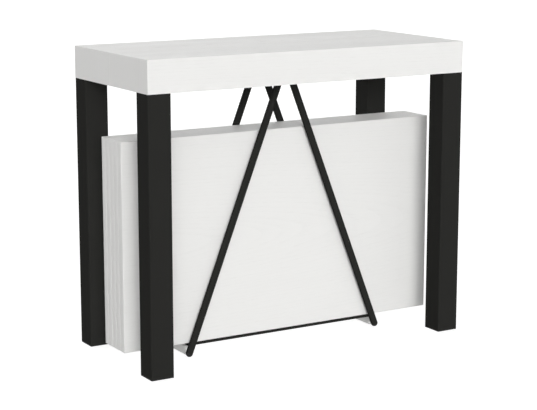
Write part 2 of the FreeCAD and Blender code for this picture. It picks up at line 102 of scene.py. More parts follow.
# Fasteners; a pan head rises in steps, each a share of its height and of the width below
PAN_HEAD = 8.0 * MM
PAN_HEIGHT = 2.5 * MM
PAN_SHANK = 4.0 * MM
PAN_LENGTH = 10.0 * MM
PAN_SIDES = 28
PAN_STEPS = ((0.5, 0.94), (0.28, 0.82), (0.22, 0.55))
WIDEST_SCREW = 1.2 * PAN_HEAD
DRIVE_SPAN = 4.4 * MM
DRIVE_WIDTH = 1.1 * MM
DRIVE_DEPTH = 1.3 * MM
BAR_SCREW_SCALE = 0.7
BAR_SCREW_HEIGHT = 2.4 * MM
BAR_SCREW_SHANK = 3.0 * MM
HEX_FLATS = 13.0 * MM
HEX_HEIGHT = 5.3 * MM
HEX_CROWN = 0.48
HEX_CHAMFER_RUN = 1.7
HEX_CHAMFER_SIDES = 48
NUT_HEIGHT = 6.5 * MM
NUT_STUB = 1.0 * MM
BOLT_SHANK = 8.0 * MM
BOLT_LENGTH = 50.0 * MM
SHANK_SIDES = 16
WASHER = 16.0 * MM
WASHER_THICKNESS = 1.6 * MM
WASHER_SIDES = 36

# Welds where the rods meet the ridge plate
WELD_RADIUS = 1.6 * MM
WELD_RIPPLES = 26
WELD_RIPPLE_DEPTH = 0.14
WELD_SIDES = 8
WELD_STEPS = 96

# Colours of the finishes, each from one end of its mottle or grain to the other
ASH_COLOURS = ((0.822, 0.819, 0.805), (0.60, 0.598, 0.583))
BLOCK_COLOURS = ((0.66, 0.47, 0.29), (0.34, 0.2, 0.105))
COAT_COLOURS = ((0.0212, 0.0212, 0.0198), (0.0262, 0.0262, 0.0245))
ALUMINIUM_COLOURS = ((0.80, 0.81, 0.82), (0.60, 0.61, 0.625))
ZINC_COLOURS = ((0.68, 0.69, 0.70), (0.50, 0.51, 0.535))
BLACK_COLOURS = ((0.011, 0.011, 0.011), (0.02, 0.02, 0.0195))
PALE_COLOURS = ((0.78, 0.78, 0.765), (0.66, 0.66, 0.645))
FLOOR_COLOURS = ((0.32, 0.32, 0.32), (0.28, 0.28, 0.28))
WHITE = (1.0, 1.0, 1.0, 1.0)

# Figure of the wood print: stretch along and across the grain, and shift from layer to layer
SWAY_STRETCH = (1.6, 7.0)
CLOUD_STRETCH = (2.2, 16.0)
LAYER_SHIFT = 37.0
RING_STRETCH = 0.35
RING_UNEVENNESS = 2.5
RING_FADE = 2.2
PORE_LIMITS = (0.56, 0.66)
PORE_GATHERING = (0.0, 0.8, 0.2, 1.0)

# Facing: when a side counts as square to an axis, and where an edge starts to turn away
SQUARE_FACING = 0.7
EDGE_TURN = (0.98, 0.75)
EDGE_BREAKS = 220.0
EDGE_BREAK_LIMITS = (0.3, 0.65)

# Bands on the leaves: share of the grain that shows, and shading
BAND_GRAIN = 0.12
BAND_SHADE = 0.08
BOARD_EDGE_SHADE = 0.05

# Turn that lays a piece's length, along Y, on the X of the drawn lines
LENGTH_ALONG_Y = math.radians(-90)

# Powder coat
COAT_PEBBLE = 0.9 * MM
COAT_PEBBLE_DEPTH = 0.09 * MM
COAT_MOTTLE = 90.0 * MM
COAT_ROUGHNESS = 0.6
COAT_SPECULAR = 0.005


# Node tree helpers
def add(tree, kind, inputs=None, **settings):
    """Adds a node. Inputs are values or other nodes' outputs, by socket name or number."""
    made = tree.nodes.new(kind)
    for name, value in settings.items():
        setattr(made, name, value)
    for key, value in (inputs or {}).items():
        if isinstance(value, bpy.types.NodeSocket):
            tree.links.new(value, made.inputs[key])
        else:
            made.inputs[key].default_value = value
    return made


def calc(tree, operation, first, second=0.0):
    """The result of a sum on one or two numbers."""
    return add(tree, "ShaderNodeMath", {0: first, 1: second}, operation=operation).outputs[0]


def span(tree, value, low, high, to_low=0.0, to_high=1.0):
    """Carries a number from one span to another, held at its ends."""
    inputs = {"Value": value, "From Min": low, "From Max": high, "To Min": to_low, "To Max": to_high}
    return add(tree, "ShaderNodeMapRange", inputs).outputs["Result"]


def split(tree, vector):
    return add(tree, "ShaderNodeSeparateXYZ", {0: vector}).outputs


def combine(tree, x, y, z):
    return add(tree, "ShaderNodeCombineXYZ", {0: x, 1: y, 2: z}).outputs[0]


def choose(tree, mask, off, on):
    """One of two numbers, or between them, by a mask."""
    mix = add(tree, "ShaderNodeMix", {0: mask, 2: off, 3: on}, data_type="FLOAT")
    return mix.outputs[0]


def noise(tree, vector, scale, detail=2.0, roughness=0.5):
    inputs = {"Vector": vector, "Scale": scale, "Detail": detail, "Roughness": roughness}
    return add(tree, "ShaderNodeTexNoise", inputs).outputs[0]


def tint(tree, mask, off, on):
    """One of two colours, or between them, by a mask."""
    mix = add(tree, "ShaderNodeMix", {0: mask, 6: (*off, 1.0), 7: (*on, 1.0)}, data_type="RGBA")
    return mix.outputs[2]


def new_group(name, kind, inputs, outputs):
    """An empty node group with named sockets, and its two end nodes."""
    tree = bpy.data.node_groups.new(name, kind)
    for label, socket, value in inputs:
        made = tree.interface.new_socket(label, in_out="INPUT", socket_type=socket)
        if value is not None:
            made.default_value = value
    for label, socket in outputs:
        tree.interface.new_socket(label, in_out="OUTPUT", socket_type=socket)
    return tree, add(tree, "NodeGroupInput").outputs, add(tree, "NodeGroupOutput").inputs


NUMBER = "NodeSocketFloat"
ARROW = "NodeSocketVector"
SHAPE = "NodeSocketGeometry"
PAINT = "NodeSocketMaterial"


# Shared effects
def make_board_axes():
    """Turns a place on a board into steps along the grain, across it and into the board."""
    tree, given, result = new_group(
        "board_axes", "ShaderNodeTree",
        [("Position", ARROW, None), ("Normal", ARROW, None), ("Face Heart", NUMBER, 0.29),
         ("Top Heart", NUMBER, 0.06), ("End Heart", NUMBER, -0.3)],
        [("Along", NUMBER), ("Across", NUMBER), ("Layer", NUMBER)])
    x, y, z = split(tree, given["Position"])
    facing = add(tree, "ShaderNodeVectorMath", {0: given["Normal"]}, operation="ABSOLUTE").outputs[0]
    facing_x, _, facing_z = split(tree, facing)
    end = calc(tree, "GREATER_THAN", facing_x, SQUARE_FACING)
    top = calc(tree, "GREATER_THAN", facing_z, SQUARE_FACING)
    on_face = calc(tree, "SUBTRACT", z, given["Face Heart"])
    on_top = calc(tree, "SUBTRACT", y, given["Top Heart"])
    on_end = calc(tree, "SUBTRACT", y, given["End Heart"])
    across = choose(tree, end, choose(tree, top, on_face, on_top), on_end)
    layer = choose(tree, end, choose(tree, top, y, z), x)
    tree.links.new(choose(tree, end, x, z), result["Along"])
    tree.links.new(across, result["Across"])
    tree.links.new(layer, result["Layer"])
    return tree


def stretched(tree, along, across, layer, stretch):
    """A place on a board, stretched along and across the grain."""
    by_length, by_width = stretch
    return combine(
        tree, calc(tree, "MULTIPLY", along, by_length), calc(tree, "MULTIPLY", across, by_width), layer)


def make_wood_grain():
    """Growth rings round a tapering heart, and short pores that gather where each ring starts."""
    tree, given, result = new_group(
        "wood_grain", "ShaderNodeTree",
        [("Along", NUMBER, None), ("Across", NUMBER, None), ("Layer", NUMBER, None),
         ("Ring Spacing", NUMBER, 0.008), ("Heart Depth", NUMBER, 0.07), ("Taper", NUMBER, 0.11),
         ("Wander", NUMBER, 0.02), ("Pore Length", NUMBER, 0.012), ("Pore Width", NUMBER, 0.0006)],
        [("Rings", NUMBER), ("Pores", NUMBER), ("Cloud", NUMBER)])
    along = given["Along"]
    across = given["Across"]
    layer = given["Layer"]
    board = calc(tree, "MULTIPLY", layer, LAYER_SHIFT)
    sway_place = stretched(tree, along, across, board, SWAY_STRETCH)
    sway = calc(tree, "SUBTRACT", noise(tree, sway_place, 1.0, 3.0), 0.5)
    shift = calc(tree, "MULTIPLY", sway, given["Wander"])
    side = calc(tree, "ADD", across, shift)
    depth = calc(tree, "ADD", calc(tree, "MULTIPLY", along, given["Taper"]), given["Heart Depth"])
    depth = calc(tree, "ADD", depth, shift)
    square = calc(tree, "ADD", calc(tree, "MULTIPLY", side, side), calc(tree, "MULTIPLY", depth, depth))
    ring = calc(tree, "DIVIDE", calc(tree, "SQRT", square), given["Ring Spacing"])
    uneven_place = combine(tree, board, calc(tree, "MULTIPLY", ring, RING_STRETCH), 0.0)
    uneven = calc(tree, "MULTIPLY", noise(tree, uneven_place, 1.0, 1.0), RING_UNEVENNESS)
    start = calc(tree, "FRACT", calc(tree, "ADD", ring, uneven))
    rings = calc(tree, "POWER", calc(tree, "SUBTRACT", 1.0, start), RING_FADE)
    pore_place = combine(
        tree, calc(tree, "DIVIDE", along, given["Pore Length"]),
        calc(tree, "DIVIDE", side, given["Pore Width"]), calc(tree, "DIVIDE", layer, given["Pore Width"]))
    pore = span(tree, noise(tree, pore_place, 0.5, 1.0), *PORE_LIMITS)
    gather = span(tree, rings, *PORE_GATHERING)
    cloud_place = stretched(tree, along, across, board, CLOUD_STRETCH)
    tree.links.new(rings, result["Rings"])
    tree.links.new(calc(tree, "MULTIPLY", pore, gather), result["Pores"])
    tree.links.new(noise(tree, cloud_place, 1.0, 3.0), result["Cloud"])
    return tree


def make_fine_texture():
    """Fine pebbling of a coat or a moulding, with a slow mottle over it."""
    tree, given, result = new_group(
        "fine_texture", "ShaderNodeTree",
        [("Position", ARROW, None), ("Pebble Size", NUMBER, 0.0008), ("Mottle Size", NUMBER, 0.06)],
        [("Pebbles", NUMBER), ("Mottle", NUMBER)])
    near = add(tree, "ShaderNodeVectorMath", {0: given["Position"]}, operation="SCALE")
    tree.links.new(calc(tree, "DIVIDE", 1.0, given["Pebble Size"]), near.inputs["Scale"])
    far = add(tree, "ShaderNodeVectorMath", {0: given["Position"]}, operation="SCALE")
    tree.links.new(calc(tree, "DIVIDE", 1.0, given["Mottle Size"]), far.inputs["Scale"])
    tree.links.new(noise(tree, near.outputs[0], 1.0, 2.0), result["Pebbles"])
    tree.links.new(noise(tree, far.outputs[0], 1.0, 4.0, 0.6), result["Mottle"])
    return tree


def make_drawn_lines():
    """Fine lines left by a die along a piece's length, which is the position's X."""
    tree, given, result = new_group(
        "drawn_lines", "ShaderNodeTree",
        [("Position", ARROW, None), ("Line Width", NUMBER, 0.0007), ("Line Length", NUMBER, 0.5)],
        [("Lines", NUMBER)])
    along, across, deep = split(tree, given["Position"])
    place = combine(
        tree, calc(tree, "DIVIDE", along, given["Line Length"]),
        calc(tree, "DIVIDE", across, given["Line Width"]), calc(tree, "DIVIDE", deep, given["Line Width"]))
    tree.links.new(noise(tree, place, 1.0, 3.0, 0.65), result["Lines"])
    return tree


def make_edge_wear():
    """Where a surface turns round an edge of a square piece, broken up a little along it."""
    tree, given, result = new_group(
        "edge_wear", "ShaderNodeTree",
        [("Position", ARROW, None), ("Normal", ARROW, None)], [("Edge", NUMBER)])
    facing = add(tree, "ShaderNodeVectorMath", {0: given["Normal"]}, operation="ABSOLUTE").outputs[0]
    facing_x, facing_y, facing_z = split(tree, facing)
    most = calc(tree, "MAXIMUM", calc(tree, "MAXIMUM", facing_x, facing_y), facing_z)
    turn = span(tree, most, *EDGE_TURN)
    broken = span(tree, noise(tree, given["Position"], EDGE_BREAKS, 3.0), *EDGE_BREAK_LIMITS)
    tree.links.new(calc(tree, "MULTIPLY", turn, broken), result["Edge"])
    return tree


BOARD_AXES = make_board_axes()
WOOD_GRAIN = make_wood_grain()
FINE_TEXTURE = make_fine_texture()
DRAWN_LINES = make_drawn_lines()
EDGE_WEAR = make_edge_wear()


# Finishes
def new_material(name):
    """A material with only its shader and its output."""
    material = bpy.data.materials.new(name)
    material.use_nodes = True
    tree = material.node_tree
    tree.nodes.clear()
    shader = add(tree, "ShaderNodeBsdfPrincipled")
    add(tree, "ShaderNodeOutputMaterial", {"Surface": shader.outputs[0]})
    return material, tree, shader


def effect(tree, group, **values):
    """Places a shared effect. Underscores in the names stand for spaces."""
    inputs = {name.replace("_", " "): value for name, value in values.items()}
    return add(tree, "ShaderNodeGroup", inputs, node_tree=group).outputs


def surface(tree, turn=0.0):
    """Place and facing on the piece itself, turned about Z if asked."""
    place = add(tree, "ShaderNodeTexCoord")
    if not turn:
        return place.outputs["Object"], place.outputs["Normal"]
    turned = []
    for output in ("Object", "Normal"):
        inputs = {"Vector": place.outputs[output], "Rotation": (0.0, 0.0, turn)}
        turned.append(add(tree, "ShaderNodeMapping", inputs).outputs[0])
    return turned


def colour(tree, shader, mask, colours):
    """Base colour between two colours, by a mask."""
    tree.links.new(tint(tree, mask, *colours), shader.inputs["Base Color"])


def roughen(tree, shader, least, *parts):
    """Roughness from a least value up, by weighted masks."""
    rough = calc(tree, "ADD", blend_of(tree, *parts), least)
    tree.links.new(rough, shader.inputs["Roughness"])


def raise_surface(tree, shader, height, depth):
    """Bump of a given depth in metres."""
    bump = add(tree, "ShaderNodeBump", {"Height": height, "Distance": depth, "Strength": 1.0})
    tree.links.new(bump.outputs[0], shader.inputs["Normal"])


def blend_of(tree, *parts):
    """The sum of masks, each times its own weight."""
    total = None
    for mask, weight in parts:
        share = calc(tree, "MULTIPLY", mask, weight)
        total = share if total is None else calc(tree, "ADD", total, share)
    return total


def make_white_ash(name, pore_weight, ring_weight, cloud_weight, depth):
    """White board with an ash print pressed into it. The bands on its edges show less grain."""
    material, tree, shader = new_material(name)
    position, normal = surface(tree)
    axes = effect(tree, BOARD_AXES, Position=position, Normal=normal)
    grain = effect(tree, WOOD_GRAIN, Along=axes["Along"], Across=axes["Across"], Layer=axes["Layer"])
    wear = effect(tree, EDGE_WEAR, Position=position, Normal=normal)
    band = add(tree, "ShaderNodeAttribute", attribute_name="edge_band").outputs["Fac"]
    keep = span(tree, band, 0.0, 1.0, 1.0, BAND_GRAIN)
    pores = calc(tree, "MULTIPLY", grain["Pores"], keep)
    rings = calc(tree, "MULTIPLY", grain["Rings"], keep)
    cloud = calc(tree, "MULTIPLY", grain["Cloud"], keep)
    shade = blend_of(
        tree, (pores, pore_weight), (rings, ring_weight), (cloud, cloud_weight),
        (band, BAND_SHADE), (wear["Edge"], BOARD_EDGE_SHADE))
    colour(tree, shader, shade, ASH_COLOURS)
    roughen(tree, shader, 0.46, (pores, 0.18), (grain["Cloud"], 0.12), (band, -0.05))
    shader.inputs["Specular IOR Level"].default_value = 0.35
    raise_surface(tree, shader, blend_of(tree, (pores, -1.0), (rings, -0.25)), depth)
    return material


def make_block_wood():
    """Sawn and oiled block."""
    material, tree, shader = new_material("block_wood")
    position, normal = surface(tree)
    axes = effect(tree, BOARD_AXES, Position=position, Normal=normal, Face_Heart=0.66)
    grain = effect(
        tree, WOOD_GRAIN, Along=axes["Along"], Across=axes["Across"], Layer=axes["Layer"],
        Ring_Spacing=0.0045, Heart_Depth=0.03, Pore_Length=0.006)
    wear = effect(tree, EDGE_WEAR, Position=position, Normal=normal)
    shade = blend_of(
        tree, (grain["Rings"], 0.5), (grain["Pores"], 0.35), (grain["Cloud"], 0.35),
        (wear["Edge"], 0.2))
    colour(tree, shader, shade, BLOCK_COLOURS)
    roughen(tree, shader, 0.55, (grain["Pores"], 0.2), (grain["Rings"], 0.1))
    raise_surface(tree, shader, blend_of(tree, (grain["Pores"], -1.0), (grain["Rings"], -0.4)), 0.2 * MM)
    return material


def make_powder_coat():
    """Matt anthracite powder coat, finely pebbled."""
    material, tree, shader = new_material("anthracite_coat")
    position = surface(tree)[0]
    texture = effect(
        tree, FINE_TEXTURE, Position=position, Pebble_Size=COAT_PEBBLE, Mottle_Size=COAT_MOTTLE)
    shade = blend_of(tree, (texture["Mottle"], 0.7), (texture["Pebbles"], 0.3))
    colour(tree, shader, shade, COAT_COLOURS)
    roughen(tree, shader, COAT_ROUGHNESS, (texture["Mottle"], 0.14), (texture["Pebbles"], 0.1))
    shader.inputs["Specular IOR Level"].default_value = COAT_SPECULAR
    raise_surface(tree, shader, texture["Pebbles"], COAT_PEBBLE_DEPTH)
    return material


def make_worn_highlit_coat():
    """The same coat on the square legs, with its corners rubbed a little smoother, and lighter there as
    wear and as a painted edge highlight.
    """
    material, tree, shader = new_material("anthracite_coat_square")
    position, normal = surface(tree)
    texture = effect(
        tree, FINE_TEXTURE, Position=position, Pebble_Size=COAT_PEBBLE, Mottle_Size=COAT_MOTTLE)
    wear = effect(tree, EDGE_WEAR, Position=position, Normal=normal)
    # Lighter corners: worn coat together with a painted edge highlight
    shade = blend_of(tree, (texture["Mottle"], 0.6), (texture["Pebbles"], 0.3), (wear["Edge"], 0.35))
    colour(tree, shader, shade, COAT_COLOURS)
    marks = (texture["Mottle"], 0.14), (texture["Pebbles"], 0.1), (wear["Edge"], -0.1)
    roughen(tree, shader, COAT_ROUGHNESS, *marks)
    shader.inputs["Specular IOR Level"].default_value = COAT_SPECULAR
    raise_surface(tree, shader, texture["Pebbles"], COAT_PEBBLE_DEPTH)
    return material


def make_rail_aluminium():
    """Satin anodised extrusion with die lines along the rail."""
    material, tree, shader = new_material("rail_aluminium")
    along, normal = surface(tree, LENGTH_ALONG_Y)
    lines = effect(tree, DRAWN_LINES, Position=along, Line_Width=0.0009, Line_Length=0.8)
    texture = effect(tree, FINE_TEXTURE, Position=along, Pebble_Size=0.0004, Mottle_Size=0.05)
    wear = effect(tree, EDGE_WEAR, Position=along, Normal=normal)
    shade = blend_of(tree, (lines["Lines"], 0.6), (texture["Mottle"], 0.3), (wear["Edge"], -0.3))
    colour(tree, shader, shade, ALUMINIUM_COLOURS)
    roughen(tree, shader, 0.26, (lines["Lines"], 0.16), (texture["Pebbles"], 0.08))
    shader.inputs["Metallic"].default_value = 1.0
    raise_surface(tree, shader, lines["Lines"], 0.02 * MM)
    return material


def make_zinc_steel():
    """Zinc-plated steel, clouded, with faint rolling lines."""
    material, tree, shader = new_material("zinc_steel")
    position, normal = surface(tree)
    texture = effect(tree, FINE_TEXTURE, Position=position, Pebble_Size=0.0012, Mottle_Size=0.018)
    lines = effect(tree, DRAWN_LINES, Position=position, Line_Width=0.0012, Line_Length=0.15)
    wear = effect(tree, EDGE_WEAR, Position=position, Normal=normal)
    shade = blend_of(tree, (texture["Mottle"], 0.7), (lines["Lines"], 0.3), (wear["Edge"], -0.3))
    colour(tree, shader, shade, ZINC_COLOURS)
    roughen(tree, shader, 0.26, (texture["Mottle"], 0.22), (lines["Lines"], 0.1))
    shader.inputs["Metallic"].default_value = 1.0
    raise_surface(tree, shader, texture["Pebbles"], 0.02 * MM)
    return material


def make_black_plastic():
    """Matt moulded plastic with a spark-eroded grain."""
    material, tree, shader = new_material("black_plastic")
    position = surface(tree)[0]
    texture = effect(tree, FINE_TEXTURE, Position=position, Pebble_Size=0.0005, Mottle_Size=0.03)
    colour(tree, shader, texture["Mottle"], BLACK_COLOURS)
    roughen(tree, shader, 0.45, (texture["Pebbles"], 0.2), (texture["Mottle"], 0.1))
    shader.inputs["Specular IOR Level"].default_value = 0.3
    raise_surface(tree, shader, texture["Pebbles"], 0.05 * MM)
    return material


def make_pale_plastic():
    """Pale extruded plastic with die lines along the sleeve."""
    material, tree, shader = new_material("pale_plastic")
    along = surface(tree, LENGTH_ALONG_Y)[0]
    lines = effect(tree, DRAWN_LINES, Position=along, Line_Width=0.0011, Line_Length=0.3)
    texture = effect(tree, FINE_TEXTURE, Position=along, Pebble_Size=0.0007, Mottle_Size=0.03)
    shade = blend_of(tree, (lines["Lines"], 0.5), (texture["Mottle"], 0.5))
    colour(tree, shader, shade, PALE_COLOURS)
    roughen(tree, shader, 0.32, (lines["Lines"], 0.2), (texture["Mottle"], 0.1))
    raise_surface(tree, shader, lines["Lines"], 0.03 * MM)
    return material


def make_floor_paint():
    """Pale studio floor with a glow of its own, so that it reads as a white sweep."""
    material, tree, shader = new_material("studio_floor")
    position = surface(tree)[0]
    texture = effect(tree, FINE_TEXTURE, Position=position, Pebble_Size=0.004, Mottle_Size=0.8)
    colour(tree, shader, texture["Mottle"], FLOOR_COLOURS)
    tree.links.new(span(tree, texture["Pebbles"], 0.0, 1.0, 0.6, 0.8), shader.inputs["Roughness"])
    shader.inputs["Specular IOR Level"].default_value = 0.1
    shader.inputs["Emission Color"].default_value = WHITE
    seen = add(tree, "ShaderNodeLightPath").outputs["Is Camera Ray"]
    tree.links.new(choose(tree, seen, FLOOR_GLOW, FLOOR_WHITE), shader.inputs["Emission Strength"])
    return material


WHITE_ASH = make_white_ash(
    "white_ash_board", pore_weight=0.11, ring_weight=0.035, cloud_weight=0.09, depth=0.05 * MM)
WHITE_ASH_TOP = make_white_ash(
    "white_ash_board_top", pore_weight=0.36, ring_weight=0.15, cloud_weight=0.38, depth=0.1 * MM)
ROUND_COAT = make_powder_coat()
SQUARE_COAT = make_worn_highlit_coat()
FINISHES = {
    "white_ash_board": WHITE_ASH,
    "anthracite_coat": ROUND_COAT,
    "rail_aluminium": make_rail_aluminium(),
    "zinc_steel": make_zinc_steel(),
    "black_plastic": make_black_plastic(),
    "pale_plastic": make_pale_plastic(),
    "block_wood": make_block_wood(),
}


def finish_of(node):
    """A CAD node's finish: tops show more of their print, and square coated pieces show worn corners with a
    painted highlight.
    """
    if node.endswith("top_panel"):
        return WHITE_ASH_TOP
    if node.endswith("_leg") or node in ("ridge_plate", "leaf_bars"):
        return SQUARE_COAT
    return FINISHES[SLOT_OF[node]]


def paint_nodes():
    for name, node in frame["nodes"].items():
        for place in node.material_slots:
            place.material = finish_of(name)


# Pieces made from a node's own mesh
def link(name, mesh):
    piece = bpy.data.objects.new(name, mesh)
    bpy.context.scene.collection.objects.link(piece)
    return piece


def stand_for(piece, node):
    """The piece takes a CAD node's place and body, and the node is hidden."""
    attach(piece, BODY_OF[node])
    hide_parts(node)


def merged_copy(node):
    """A node's mesh as joined faces, without the lines between flat triangles."""
    work = bmesh.new()
    work.from_mesh(frame["nodes"][node].data)
    bmesh.ops.remove_doubles(work, verts=work.verts, dist=MERGE_DISTANCE)
    bmesh.ops.dissolve_limit(work, angle_limit=FLAT_ANGLE, verts=work.verts, edges=work.edges)
    return work


def finished_mesh(work, name):
    mesh = bpy.data.meshes.new(name)
    work.to_mesh(mesh)
    work.free()
    return mesh


def smooth(piece):
    for face in piece.data.polygons:
        face.use_smooth = True


def ease(piece, width):
    """Rounds a piece's sharp edges."""
    modifier = piece.modifiers.new("eased", "BEVEL")
    modifier.width = width
    modifier.segments = EASE_SEGMENTS
    modifier.limit_method = "ANGLE"
    modifier.angle_limit = EASE_ANGLE
    modifier.harden_normals = True
    smooth(piece)


def eased_node(node, width):
    """A CAD node with all of its sharp edges eased."""
    piece = link(node + "_eased", finished_mesh(merged_copy(node), node + "_eased"))
    piece.data.materials.append(finish_of(node))
    ease(piece, width)
    stand_for(piece, node)


def islands(work):
    """The separate pieces of a mesh, as lists of points."""
    left = set(work.verts)
    found = []
    while left:
        group = [left.pop()]
        for point in group:
            for edge in point.link_edges:
                other = edge.other_vert(point)
                if other in left:
                    left.remove(other)
                    group.append(other)
        found.append(group)
    return found


def extent(points):
    """Lowest and highest corner of some points."""
    low = Vector([min(p.co[i] for p in points) for i in range(3)])
    high = Vector([max(p.co[i] for p in points) for i in range(3)])
    return low, high


def middle_at(low, high, z):
    """The middle of a box in plan, at a given height."""
    return Vector(((low.x + high.x) / 2, (low.y + high.y) / 2, z))


# Fasteners, grown on points by node trees
def make_pan_screws():
    """Pan-head screws with a cross recess on each point, facing the point's own direction."""
    sizes = [("Head Diameter", PAN_HEAD), ("Head Height", PAN_HEIGHT), ("Drive Span", DRIVE_SPAN),
             ("Drive Width", DRIVE_WIDTH), ("Drive Depth", DRIVE_DEPTH), ("Shank Diameter", PAN_SHANK),
             ("Shank Length", PAN_LENGTH)]
    tree, given, result = new_group(
        "pan_screws", "GeometryNodeTree",
        [("Points", SHAPE, None),
         *[(name, NUMBER, value) for name, value in sizes],
         ("Finish", PAINT, None)],
        [("Screws", SHAPE)])
    radius = calc(tree, "MULTIPLY", given["Head Diameter"], 0.5)
    inputs = {"Vertices": PAN_SIDES, "Radius": radius}
    disc = add(tree, "GeometryNodeMeshCircle", inputs, fill_type="NGON").outputs[0]
    under = add(tree, "GeometryNodeFlipFaces", {0: disc}).outputs[0]
    dome = disc
    crown = True
    for rise, narrow in PAN_STEPS:
        step = calc(tree, "MULTIPLY", given["Head Height"], rise)
        inputs = {"Mesh": dome, "Selection": crown, "Offset Scale": step}
        raised = add(tree, "GeometryNodeExtrudeMesh", inputs)
        crown = raised.outputs["Top"]
        inputs = {"Geometry": raised.outputs["Mesh"], "Selection": crown, "Scale": narrow}
        dome = add(tree, "GeometryNodeScaleElements", inputs).outputs[0]
    closed = add(tree, "GeometryNodeJoinGeometry", {0: dome})
    tree.links.new(under, closed.inputs[0])
    inputs = {"Geometry": closed.outputs[0], "Distance": MERGE_DISTANCE}
    closed = add(tree, "GeometryNodeMergeByDistance", inputs).outputs[0]
    depth = calc(tree, "MULTIPLY", given["Drive Depth"], 2.0)
    recess = add(tree, "GeometryNodeMeshBoolean", {0: closed}, operation="DIFFERENCE", solver="EXACT")
    top = combine(tree, 0.0, 0.0, given["Head Height"])
    for size in ((given["Drive Span"], given["Drive Width"]), (given["Drive Width"], given["Drive Span"])):
        bar = add(tree, "GeometryNodeMeshCube", {"Size": combine(tree, *size, depth)}).outputs[0]
        bar = add(tree, "GeometryNodeTransform", {"Geometry": bar, "Translation": top}).outputs[0]
        tree.links.new(bar, recess.inputs[1])
    shank = straight_shank(tree, given)
    screw = add(tree, "GeometryNodeJoinGeometry", {0: recess.outputs[0]})
    tree.links.new(shank, screw.inputs[0])
    set_out(tree, given, result["Screws"], screw.outputs[0])
    return tree


def straight_shank(tree, given):
    """A shank that goes down from the head's underside."""
    radius = calc(tree, "MULTIPLY", given["Shank Diameter"], 0.5)
    inputs = {"Vertices": SHANK_SIDES, "Radius": radius, "Depth": given["Shank Length"]}
    bar = add(tree, "GeometryNodeMeshCylinder", inputs).outputs["Mesh"]
    down = combine(tree, 0.0, 0.0, calc(tree, "MULTIPLY", given["Shank Length"], -0.5))
    return add(tree, "GeometryNodeTransform", {"Geometry": bar, "Translation": down}).outputs[0]


def set_out(tree, given, result, shape):
    """Places a shape on each point, turned to the point's direction, as plain mesh."""
    facing = add(tree, "GeometryNodeInputNamedAttribute", {"Name": "facing"}, data_type="FLOAT_VECTOR")
    inputs = {"Vector": facing.outputs[0]}
    turn = add(tree, "FunctionNodeAlignRotationToVector", inputs, axis="Z").outputs[0]
    inputs = {"Points": given["Points"], "Instance": shape, "Rotation": turn}
    placed = add(tree, "GeometryNodeInstanceOnPoints", inputs).outputs[0]
    paint_result(tree, given, result, placed)


def paint_result(tree, given, result, shape):
    """Ends a tree: its shape as plain mesh, in its finish."""
    plain = add(tree, "GeometryNodeRealizeInstances", {0: shape}).outputs[0]
    inputs = {"Geometry": plain, "Material": given["Finish"]}
    tree.links.new(add(tree, "GeometryNodeSetMaterial", inputs).outputs[0], result)


def make_hex_bolts():
    """Chamfered hexagon heads on each point, with a washer under them if it has any thickness."""
    sizes = [("Flats", HEX_FLATS), ("Head Height", HEX_HEIGHT), ("Washer Diameter", WASHER),
             ("Washer Thickness", WASHER_THICKNESS), ("Shank Diameter", BOLT_SHANK),
             ("Shank Length", BOLT_LENGTH)]
    tree, given, result = new_group(
        "hex_bolts", "GeometryNodeTree",
        [("Points", SHAPE, None),
         *[(name, NUMBER, value) for name, value in sizes],
         ("Finish", PAINT, None)],
        [("Bolts", SHAPE)])
    corner = calc(tree, "DIVIDE", given["Flats"], math.sqrt(3))
    inputs = {"Vertices": 6, "Radius": corner, "Depth": given["Head Height"]}
    prism = add(tree, "GeometryNodeMeshCylinder", inputs).outputs["Mesh"]
    half = calc(tree, "MULTIPLY", given["Head Height"], 0.5)
    lift = combine(tree, 0.0, 0.0, calc(tree, "ADD", half, given["Washer Thickness"]))
    prism = add(tree, "GeometryNodeTransform", {"Geometry": prism, "Translation": lift}).outputs[0]
    crown = calc(tree, "MULTIPLY", given["Flats"], HEX_CROWN)
    foot = calc(tree, "ADD", crown, calc(tree, "MULTIPLY", given["Head Height"], HEX_CHAMFER_RUN))
    inputs = {"Vertices": HEX_CHAMFER_SIDES, "Radius Top": crown, "Radius Bottom": foot,
              "Depth": given["Head Height"]}
    cone = add(tree, "GeometryNodeMeshCone", inputs).outputs["Mesh"]
    seat = combine(tree, 0.0, 0.0, given["Washer Thickness"])
    cone = add(tree, "GeometryNodeTransform", {"Geometry": cone, "Translation": seat}).outputs[0]
    head = add(tree, "GeometryNodeMeshBoolean", operation="INTERSECT", solver="EXACT")
    for solid in (prism, cone):
        tree.links.new(solid, head.inputs[1])
    ring_radius = calc(tree, "MULTIPLY", given["Washer Diameter"], 0.5)
    inputs = {"Vertices": WASHER_SIDES, "Radius": ring_radius, "Depth": given["Washer Thickness"]}
    ring = add(tree, "GeometryNodeMeshCylinder", inputs).outputs["Mesh"]
    ring_lift = combine(tree, 0.0, 0.0, calc(tree, "MULTIPLY", given["Washer Thickness"], 0.5))
    ring = add(tree, "GeometryNodeTransform", {"Geometry": ring, "Translation": ring_lift}).outputs[0]
    has_washer = calc(tree, "GREATER_THAN", given["Washer Thickness"], 0.0)
    washer = add(tree, "GeometryNodeSwitch", {"Switch": has_washer, "True": ring}, input_type="GEOMETRY")
    bolt = add(tree, "GeometryNodeJoinGeometry", {0: head.outputs[0]})
    tree.links.new(washer.outputs[0], bolt.inputs[0])
    tree.links.new(straight_shank(tree, given), bolt.inputs[0])
    set_out(tree, given, result["Bolts"], bolt.outputs[0])
    return tree


